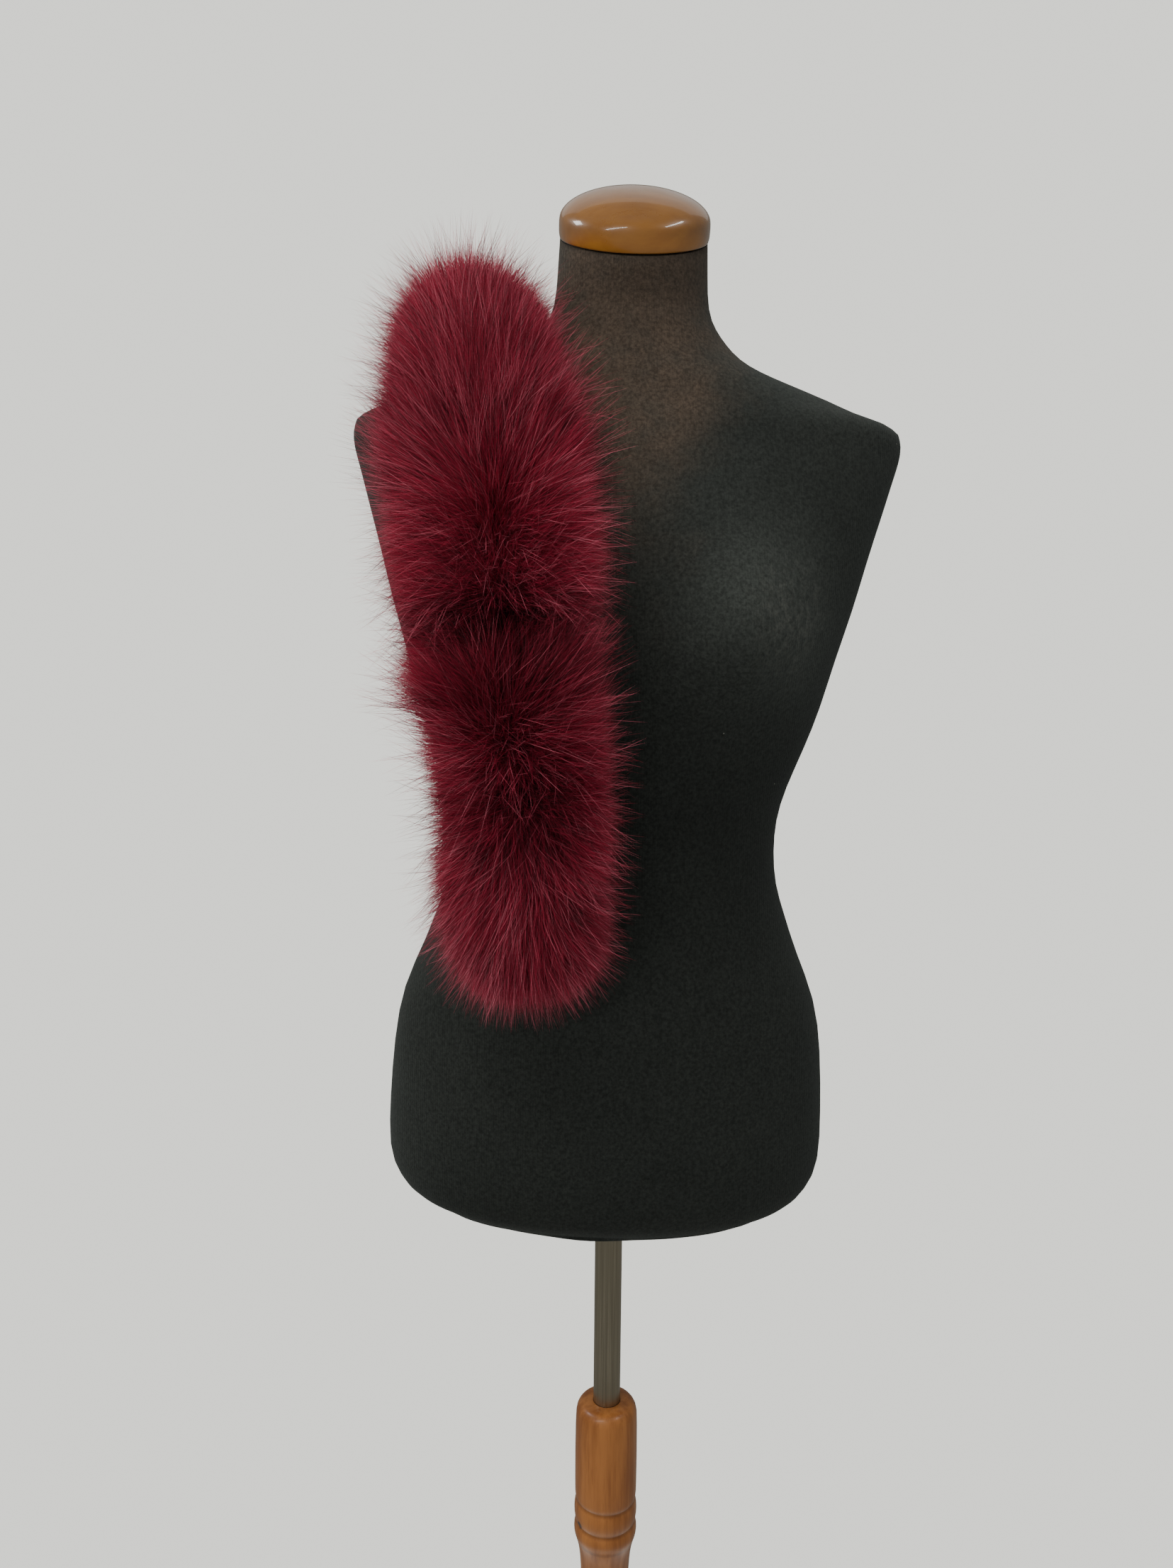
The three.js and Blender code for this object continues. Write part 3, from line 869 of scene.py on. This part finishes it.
def colour_property(name, description, default):
    return bpy.props.FloatVectorProperty(
        name=name, description=description, subtype="COLOR", size=3, min=0, max=1, default=default
    )


def number_property(name, description, default, **more):
    return bpy.props.FloatProperty(name=name, description=description, default=default, **more)


def length_property(name, description, default):
    return number_property(name, description, default, min=0, unit="LENGTH")


class FurSettings(bpy.types.PropertyGroup):
    """Sizes and colours of the fur strip."""

    underfur_count: number_property(
        "Underfur density", "Strands of underfur per square metre of hide", 2.45e6, min=0
    )
    guard_count: number_property(
        "Guard hair density", "Guard hairs per square metre of hide", 1.08e6, min=0
    )
    underfur_width: length_property(
        "Underfur width", "Width of an underfur strand at its root", 0.0005
    )
    guard_width: length_property("Guard hair width", "Width of a guard hair at its root", 0.00044)
    clearance: length_property("Clearance", "How far hair stays off the form", 0.0008)
    # Painted shade: fur in partings and hollows takes this dark colour, which is partly the roots'
    # own darker colour
    hollow_shade: colour_property("Hollow colour", "Fur deep in a parting", shade(36, 12, 14))
    dyed: colour_property("Dyed colour", "Most of the fur", shade(153, 32, 56))
    # The lightest strands: partly pale tips and partly painted highlights on the guard hair
    bright: colour_property("Bright colour", "The lightest strands", shade(212, 104, 120))
    leather: colour_property("Leather colour", "The hide's dyed leather side", shade(92, 30, 38))


class FormSettings(bpy.types.PropertyGroup):
    """Colours of the dress form."""

    jersey: colour_property("Jersey colour", "The form's cover", shade(38, 40, 37))
    faded: colour_property("Faded colour", "Where the cover has faded", shade(65, 55, 46))
    lint: colour_property("Lint colour", "Specks on the cover", shade(140, 138, 128))


class StandSettings(bpy.types.PropertyGroup):
    """Colours of the cap and the stand."""

    lacquer: colour_property("Lacquer colour", "The neck cap's wood", shade(122, 80, 30))
    lacquer_dark: colour_property("Lacquer grain", "The neck cap's grain", shade(114, 73, 27))
    wood: colour_property("Wood colour", "The post and the foot", shade(178, 114, 58))
    wood_dark: colour_property(
        "Wood grain", "The grain of the post and the foot", shade(140, 82, 36)
    )
    steel: colour_property("Steel colour", "The pole", shade(174, 165, 145))


class StageSettings(bpy.types.PropertyGroup):
    """The camera, the floor and the pale surroundings."""

    camera_x: number_property("Camera X", "Camera's place to the side", -0.02103, unit="LENGTH")
    camera_y: number_property("Camera Y", "Camera's place in front", -0.860, unit="LENGTH")
    camera_z: number_property("Camera Z", "Camera's height", 1.230, unit="LENGTH")
    pitch: number_property(
        "Pitch", "How far the camera looks down", math.radians(7.486), subtype="ANGLE"
    )
    roll: number_property("Roll", "The camera's roll", math.radians(0.509), subtype="ANGLE")
    lens: number_property("Focal length", "In millimetres on a 36 mm long side", 26.105)
    floor_radius: length_property("Floor radius", "Radius of the pale floor", 0.46)
    wall: colour_property("Wall colour", "The pale surroundings", shade(212, 212, 206))
    wall_light: number_property("Wall light", "How bright the surroundings look", 1.9)
    gloss_light: number_property(
        "Gloss light", "How bright the surroundings look in gloss", 0.32
    )
    floor_glow: number_property("Floor glow", "Light added to the floor to match the wall", 1.1)
    ambient: number_property("Ambient light", "Strength of the light from all round", 0.35)


def settings():
    return bpy.context.scene.fur_wrap


class WrapSettings(bpy.types.PropertyGroup):
    """All settings of the add-on."""

    fur: bpy.props.PointerProperty(type=FurSettings)
    form: bpy.props.PointerProperty(type=FormSettings)
    stand: bpy.props.PointerProperty(type=StandSettings)
    stage: bpy.props.PointerProperty(type=StageSettings)


# Finishes of the form, the cap, the stand and the hide

# Places on them, in metres
# The centre of the bust's painted highlight, which is partly worn nap, and the height of the
# painted shade at the waist
BUST_WEAR_AND_HIGHLIGHT = (0.118, -0.135, 1.225)
RUB_MARK = (0.118, -0.14, 1.24)
WAIST_SHADE_HEIGHT = 1.08
# The heights over which the cap's painted fill light fades out
CAP_PAINTED_FILL = (1.490, 1.509)
# The heights of the post's turned grooves, which get painted shade
POST_GROOVE_SHADE = (0.502, 0.522, 0.486)
POST_NICK = (-0.022, -0.0135, 0.5045)


def jersey_material(look):
    """Matte charcoal jersey, faded brown at the neck and the chest's centre, with lint on it, a
    painted highlight on the bust and painted shade at the waist.
    """
    material, n, shader = new_material(
        "jersey", roughness=0.95, specular_ior_level=0.12, sheen_weight=0.12,
        sheen_roughness=0.5, sheen_tint=(*shade(170, 178, 172), 1),
    )
    where = object_place(n)
    x, y, z = n.xyz(where)
    sway = n.times(n.minus(n.noise(where, 14.0, 4.0, 0.6), 0.5), 0.12)
    # The faded place is as wide as the neck, and narrows to a point at mid chest
    reach = n.between(z, 1.24, 1.46, -0.01, 0.066)
    off_centre = n.math("ABSOLUTE", n.plus(n.minus(x, 0.012), sway))
    inside = n.between(n.minus(off_centre, reach), 0.04, -0.03)
    front = n.between(y, 0.02, -0.03)
    worn = n.times(inside, n.between(z, 1.17, 1.42))
    worn = n.times(worn, n.math("MAXIMUM", front, n.between(z, 1.42, 1.47)))
    patches = n.between(n.noise(where, 30.0, 5.0, 0.65), 0.25, 0.6, 0.55, 1.0)
    worn = n.times(worn, patches)
    cloth = n.mix(worn, (*look.jersey, 1), (*look.faded, 1))
    # The nap is mottled. The bust is painted lighter, partly as worn nap and partly as a painted
    # highlight, and the waist darker as painted shade under the bust
    mottled = n.between(n.noise(where, 420.0, 3.0, 0.7), 0.22, 0.78, 0.6, 1.5)
    broad = n.between(n.noise(where, 9.0, 4.0, 0.6), 0.25, 0.75, 0.88, 1.12)
    nap_and_painted_light = n.times(mottled, broad)
    bust = n.add("ShaderNodeCombineXYZ", {0: n.math("ABSOLUTE", x), 1: y, 2: z})
    bust = n.vector("LENGTH", n.vector("SUBTRACT", bust, BUST_WEAR_AND_HIGHLIGHT))
    nap_and_painted_light = n.times(nap_and_painted_light, n.between(bust, 0.12, 0.03, 1.0, 1.7))
    waist = n.math("ABSOLUTE", n.minus(z, WAIST_SHADE_HEIGHT))
    nap_and_painted_light = n.times(nap_and_painted_light, n.between(waist, 0.02, 0.12, 0.8, 1.0))
    cloth = n.scaled(cloth, nap_and_painted_light)
    # A pale rub mark by the bust, and specks of lint
    rub = n.vector("SUBTRACT", where, RUB_MARK)
    rub = n.vector("LENGTH", stretched(n, rub, 1.0, 0.4, 0.75))
    rub = n.between(rub, 0.05, 0.004)
    rub = n.times(rub, n.between(n.noise(where, 150.0, 5.0, 0.8), 0.4, 0.8))
    cloth = n.mix(n.times(rub, 0.3), cloth, (*look.lint, 1))
    lint = specks(n, where, 70.0, 0.9, 0.05, 0.02)
    cloth = n.mix(n.times(lint, 0.55), cloth, (*look.lint, 1))
    n.feed(shader.inputs["Base Color"], cloth)
    ribs = n.add(
        "ShaderNodeTexWave",
        {"Vector": where, "Scale": 180.0, "Distortion": 1.5, "Detail": 2.0, "Detail Scale": 3.0},
        bands_direction="X",
    )
    ribs = n.times(n.socket(ribs.outputs, "Fac"), 0.35)
    set_bump(n, shader, n.plus(ribs, n.noise(where, 900.0, 3.0, 0.7)), 0.5, 0.0006)
    return material


def lacquer_material(look):
    """Glossy brown lacquer over fine grain, with a few pale specks and painted fill light towards
    the band at the neck.
    """
    material, n, shader = new_material(
        "lacquer", specular_ior_level=0.5, coat_weight=0.9, coat_roughness=0.06
    )
    where = object_place(n)
    grain = n.noise(stretched(n, where, 16.0, 90.0, 60.0), 1.6, 6.0, 0.62)
    wood = n.mix(n.between(grain, 0.34, 0.66), (*look.lacquer_dark, 1), (*look.lacquer, 1))
    clouds = n.between(n.noise(where, 24.0, 3.0, 0.5), 0.3, 0.7, 0.94, 1.04)
    # Painted fill light: the lacquer is painted lighter towards the band at the neck
    painted_fill = n.between(n.xyz(where)["Z"], *CAP_PAINTED_FILL, 1.9, 1.0)
    wood = n.scaled(wood, n.times(clouds, painted_fill))
    pale = specks(n, where, 95.0, 0.95, 0.09, 0.04)
    wood = n.mix(n.times(pale, 0.7), wood, (*shade(226, 205, 170), 1))
    n.feed(shader.inputs["Base Color"], wood)
    gloss = n.between(n.noise(where, 60.0, 4.0, 0.6), 0.3, 0.7, 0.26, 0.36)
    n.feed(shader.inputs["Roughness"], gloss)
    set_bump(n, shader, n.noise(where, 45.0, 2.0, 0.5), 0.05, 0.0005)
    return material


def wood_material(look, name, along):
    """Satin orange-brown wood with its grain along one axis, and painted shade in the turned
    grooves.
    """
    material, n, shader = new_material(name, coat_weight=0.15, coat_roughness=0.2)
    where = object_place(n)

    def grained(fine, coarse):
        return stretched(n, where, *(fine if axis == along else coarse for axis in "xyz"))

    grain = n.noise(grained(5.0, 70.0), 1.4, 7.0, 0.66)
    wood = n.mix(n.between(grain, 0.32, 0.68), (*look.wood_dark, 1), (*look.wood, 1))
    pores = n.between(n.noise(grained(24.0, 420.0), 1.0, 3.0, 0.6), 0.62, 0.72)
    wood = n.mix(n.times(pores, 0.35), wood, (*look.wood_dark, 1))
    # Painted shade in the turned grooves of the post
    for height in POST_GROOVE_SHADE:
        off = n.math("ABSOLUTE", n.minus(n.xyz(where)["Z"], height))
        wood = n.mix(n.times(n.between(off, 0.003, 0.0004), 0.3), wood, (*shade(70, 36, 14), 1))
    # A small dark nick at the lower bead
    nick = n.vector("LENGTH", n.vector("SUBTRACT", where, POST_NICK))
    wood = n.mix(n.between(nick, 0.0042, 0.002), wood, (*shade(44, 24, 12), 1))
    n.feed(shader.inputs["Base Color"], wood)
    n.feed(shader.inputs["Roughness"], n.between(grain, 0.3, 0.7, 0.42, 0.32))
    set_bump(n, shader, grain, 0.12, 0.0004)
    return material


def steel_material(look):
    """Grey steel, brushed along the tube, with fine scratches. Its streaked tint is partly brushing
    and partly painted reflection streaks.
    """
    material, n, shader = new_material("brushed_steel", metallic=1.0)
    brushed = n.noise(stretched(n, object_place(n), 900.0, 900.0, 9.0), 1.0, 4.0, 0.6)
    # The brushed streaks in the tint are also painted reflection streaks
    brushing_and_reflection = n.between(brushed, 0.3, 0.7, 0.78, 1.08)
    n.feed(shader.inputs["Base Color"], n.scaled(tuple(look.steel), brushing_and_reflection))
    n.feed(shader.inputs["Roughness"], n.between(brushed, 0.3, 0.7, 0.3, 0.46))
    set_bump(n, shader, brushed, 0.1, 0.0002)
    return material


def leather_material(look):
    """The hide's dyed leather side, soft and a little uneven."""
    material, n, shader = new_material("dyed_leather", roughness=0.88)
    where = object_place(n)
    patches = n.between(n.noise(where, 32.0, 4.0, 0.6), 0.3, 0.7, 0.75, 1.15)
    n.feed(shader.inputs["Base Color"], n.scaled(tuple(look.leather), patches))
    set_bump(n, shader, n.noise(where, 600.0, 3.0, 0.6), 0.3, 0.0004)
    return material


# The stage and the pieces

# Lights: middle, end of the long side, what it faces, width, depth, watts, seen in gloss
LIGHTS = {
    "ceiling": ((-0.38, -0.45, 2.85), (1, -0.45, 2.85), (0, 0, 1.1), 1.9, 1.5, 32, False),
    "front_fill": ((-0.8, -2.2, 1.4), (0.2, -2.55, 1.4), (0, 0, 1.15), 1.6, 1.6, 10, False),
    "back_glow": ((0, 0.9, 2.75), (1, 0.9, 2.75), (0, 0, 1.53), 2.4, 1.2, 3, True),
    "side_lamp": ((-1.50, 0, 2.05), (-1.50, 0.4, 1.9), (0, 0, 1.5), 0.44, 0.46, 9, True),
    "left_strip": ((-0.70, -1.40, 1.63), (-0.34, -1.57, 1.89), (0, 0, 1.5), 1.1, 0.08, 5, True),
    "right_strip": ((1.11, -0.73, 2.30), (1.19, -0.24, 2.60), (0, 0, 1.5), 1.0, 0.10, 5, True),
}

# The floor's corners, and how far it lies under the foot
FLOOR_CORNERS = 96
FLOOR_DROP = 0.0005


class FURWRAP_OT_stage(bpy.types.Operator):
    """Camera, pale floor and soft lights"""

    bl_idname = "fur_wrap.stage"
    bl_label = "Stage"

    def execute(self, context):
        look = settings().stage
        camera = bpy.data.objects.new("Camera", bpy.data.cameras.new("Camera"))
        camera.data.lens = look.lens
        camera.data.clip_start = 0.01
        camera.location = (look.camera_x, look.camera_y, look.camera_z)
        pitch = Euler((math.pi / 2 - look.pitch, 0, 0)).to_matrix()
        camera.rotation_euler = (pitch @ Euler((0, 0, look.roll)).to_matrix()).to_euler()
        context.scene.collection.objects.link(camera)
        context.scene.camera = camera
        self.make_floor(context, look)
        self.make_world(context, look)
        self.make_lights(context)
        return {"FINISHED"}

    def make_floor(self, context, look):
        bpy.ops.mesh.primitive_circle_add(
            vertices=FLOOR_CORNERS,
            radius=look.floor_radius,
            fill_type="NGON",
            location=(0, 0, -FLOOR_DROP),
        )
        floor = context.object
        floor.name = "floor"
        material, n, shader = new_material(
            "pale_floor", base_color=(*look.wall, 1), roughness=0.9,
            emission_color=(*look.wall, 1), emission_strength=look.floor_glow,
        )
        across = n.vector("LENGTH", stretched(n, object_place(n), 1.0, 1.0, 0.0))
        shown = n.between(across, look.floor_radius, look.floor_radius * 0.5)
        n.feed(shader.inputs["Alpha"], shown)
        floor.data.materials.append(material)

    def make_world(self, context, look):
        """Pale surroundings that light the object more softly than they look."""
        world = bpy.data.worlds.new("Pale room")
        context.scene.world = world
        world.use_nodes = True
        n = Nodes(world.node_tree)
        world.node_tree.nodes.clear()

        def background(colour, strength):
            return n.add("ShaderNodeBackground", {"Color": (*colour, 1), "Strength": strength})

        seen = background(look.wall, look.wall_light)
        lit = background(shade(236, 240, 240), look.ambient)
        mirrored = background(look.wall, look.gloss_light)
        path = n.add("ShaderNodeLightPath").outputs
        lit = n.add("ShaderNodeMixShader", {0: path["Is Glossy Ray"], 1: lit, 2: mirrored})
        both = n.add("ShaderNodeMixShader", {0: path["Is Camera Ray"], 1: lit, 2: seen})
        n.add("ShaderNodeOutputWorld", {"Surface": both})

    def make_lights(self, context):
        for name, (place, end, target, width, depth, watts, gloss) in LIGHTS.items():
            light = bpy.data.lights.new(name, "AREA")
            light.shape = "RECTANGLE"
            light.size, light.size_y = width, depth
            light.energy = watts
            lamp = bpy.data.objects.new(name, light)
            back = (Vector(place) - Vector(target)).normalized()
            side = Vector(end) - Vector(place)
            side = (side - back * side.dot(back)).normalized()
            turn = Matrix((side, back.cross(side), back)).transposed()
            lamp.matrix_world = Matrix.Translation(place) @ turn.to_4x4()
            lamp.visible_camera = False
            lamp.visible_glossy = gloss
            context.scene.collection.objects.link(lamp)


class FURWRAP_OT_form(bpy.types.Operator):
    """The jersey-covered form with its neck"""

    bl_idname = "fur_wrap.form"
    bl_label = "Dress form"

    def execute(self, context):
        piece = smooth_copy("jersey_form", "form", 1, fit_steps=3)
        piece.data.materials.append(jersey_material(settings().form))
        return {"FINISHED"}


class FURWRAP_OT_neck_cap(bpy.types.Operator):
    """The lacquered wooden cap on the neck"""

    bl_idname = "fur_wrap.neck_cap"
    bl_label = "Neck cap"

    def execute(self, context):
        piece = smooth_copy("lacquered_cap", "neck_cap", 2)
        piece.data.materials.append(lacquer_material(settings().stand))
        return {"FINISHED"}


class FURWRAP_OT_stand(bpy.types.Operator):
    """The steel pole, the turned post and the round foot"""

    bl_idname = "fur_wrap.stand"
    bl_label = "Stand"

    def execute(self, context):
        look = settings().stand
        steel = steel_material(look)
        post_wood = wood_material(look, "post_wood", "z")
        foot_wood = wood_material(look, "foot_wood", "x")
        for name, node, finish, slot in (
            ("steel_pole", "pole", steel, "steel"),
            ("turned_post", "post", post_wood, "turned_wood"),
            ("round_foot", "foot", foot_wood, "turned_wood"),
        ):
            piece = smooth_copy(name, node, 1)
            piece.data.materials.append(finish)
        return {"FINISHED"}


class FURWRAP_OT_hide(bpy.types.Operator):
    """The hide that the hair grows out of, a thin curled sheet"""

    bl_idname = "fur_wrap.hide"
    bl_label = "Hide"

    def execute(self, context):
        route = Route()
        place, side = skin_grid(route, 0, route.length)
        points, _, _ = hide_points(route, place, side)
        piece = add_piece("hide", grid_mesh("hide", off_form(points)))
        solid = piece.modifiers.new("Thickness", "SOLIDIFY")
        solid.thickness = HIDE_THICK * MM
        solid.offset = -1
        piece.data = evaluated_mesh(piece)
        piece.modifiers.clear()
        piece.data.name = "hide"
        piece.data.shade_smooth()
        piece.data.materials.append(leather_material(settings().fur))
        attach(piece, BODY)
        return {"FINISHED"}


# The hair tree's inputs for the underfur and for the guard hair
COATS = ("underfur", "guard")
COAT_VALUES = {
    "Seed": (11, 41),
    "Segments": (2, 3),
    "Shortest": (0.74, 0.9),
    "Longest": (1.04, 1.16),
    "Stray": (0.0, 0.52),
    "Furthest out": (0.004, 0.0115),
    "Tone spread": (0.36, 0.80),
    "Scatter": (0.8, 1.2),
    "Lock pull": (0.42, 0.46),
    "Lock size": (0.012, 0.010),
    "Tuft pull": (0.75, 0.6),
    "Tuft size": (0.0065, 0.005),
}


def grow_coat(kind, material, density, width):
    """One hair piece for each skin. The underfur takes the place of the skins' solids."""
    tree = bpy.data.node_groups.get("Hair") or HairTree().tree
    route = Route()
    values = {name: pair[COATS.index(kind)] for name, pair in COAT_VALUES.items()}
    values["Strands per square metre"] = density
    values["Width"] = width
    values["Form"] = bpy.data.objects["jersey_form"]
    values["Clearance"] = settings().fur.clearance
    values["Material"] = material
    for number, (skin, low, high) in enumerate(SKINS):
        name = f"{kind}_{skin}"
        ground = skin_with_comb(route, name + "_skin", low, high)
        piece = grow(tree, name, ground, {**values, "Seed": values["Seed"] + number})
        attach(piece, BODY)
        if kind == "underfur":
            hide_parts("fur_" + skin)


def toned(colour, share=1.0):
    return tuple(share * c for c in colour)


class FURWRAP_OT_underfur(bpy.types.Operator):
    """The soft, dense underfur of each skin"""

    bl_idname = "fur_wrap.underfur"
    bl_label = "Underfur"

    def execute(self, context):
        look = settings().fur
        tones = (
            (0.0, toned(look.hollow_shade, 0.5)),
            (0.25, toned(look.hollow_shade)),
            (0.5, toned(look.dyed)),
            (0.75, toned(look.dyed, 1.3)),
            (1.0, tuple(0.4 * a + 0.6 * b for a, b in zip(look.bright, look.dyed))),
        )
        # Along the strand: painted shade deep in the coat, lighter at the tip
        along = ((0.0, grey(0.1)), (0.45, grey(0.36)), (0.75, grey(0.95)), (1.0, grey(1.35)))
        material = hair_material("underfur", tones, along, roughness=0.8, sheen=0.15)
        grow_coat("underfur", material, look.underfur_count, look.underfur_width)
        return {"FINISHED"}


class FURWRAP_OT_guard_hair(bpy.types.Operator):
    """The long, glossy guard hair of each skin"""

    bl_idname = "fur_wrap.guard_hair"
    bl_label = "Guard hair"

    def execute(self, context):
        look = settings().fur
        tones = (
            (0.0, toned(look.hollow_shade)),
            (0.3, toned(look.dyed, 0.5)),
            (0.56, toned(look.dyed)),
            (0.86, toned(look.bright)),
            (1.0, toned(look.bright, 1.2)),
        )
        # Along the strand: painted shade deep in the coat, and a painted highlight at the tip
        along = ((0.0, grey(0.08)), (0.55, grey(0.27)), (0.83, grey(0.95)), (1.0, grey(1.8)))
        material = hair_material("guard_hair", tones, along, roughness=0.42, sheen=0.1)
        grow_coat("guard", material, look.guard_count, look.guard_width)
        flat = (2 * HIDE_BEND * HIDE_CURL * MM, (Route().length - 2 * HIDE_INSET) * MM)
        return {"FINISHED"}


PIECE_OPERATORS = (
    FURWRAP_OT_stage,
    FURWRAP_OT_form,
    FURWRAP_OT_neck_cap,
    FURWRAP_OT_stand,
    FURWRAP_OT_hide,
    FURWRAP_OT_underfur,
    FURWRAP_OT_guard_hair,
)


class FURWRAP_PT_panel(bpy.types.Panel):
    """Lists the settings and the pieces"""

    bl_idname = "FURWRAP_PT_panel"
    bl_label = "Fur wrap"
    bl_space_type = "VIEW_3D"
    bl_region_type = "UI"
    bl_category = "Fur wrap"

    def draw(self, context):
        for group in (settings().fur, settings().form, settings().stand, settings().stage):
            box = self.layout.box()
            for name in group.__annotations__:
                box.prop(group, name)
        for operator in PIECE_OPERATORS:
            self.layout.operator(operator.bl_idname)


CLASSES = (
    FurSettings,
    FormSettings,
    StandSettings,
    StageSettings,
    WrapSettings,
    *PIECE_OPERATORS,
    FURWRAP_PT_panel,
)


def register():
    for cls in CLASSES:
        bpy.utils.register_class(cls)
    bpy.types.Scene.fur_wrap = bpy.props.PointerProperty(type=WrapSettings)


def unregister():
    del bpy.types.Scene.fur_wrap
    for cls in reversed(CLASSES):
        bpy.utils.unregister_class(cls)


def main():
    for extra in list(bpy.data.objects):
        if extra.type in ("LIGHT", "CAMERA") or (extra.name == "Cube" and "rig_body" not in extra):
            bpy.data.objects.remove(extra)
    register()
    for operator in PIECE_OPERATORS:
        group, name = operator.bl_idname.split(".")
        getattr(getattr(bpy.ops, group), name)()


if __name__ == "__main__":
    main()
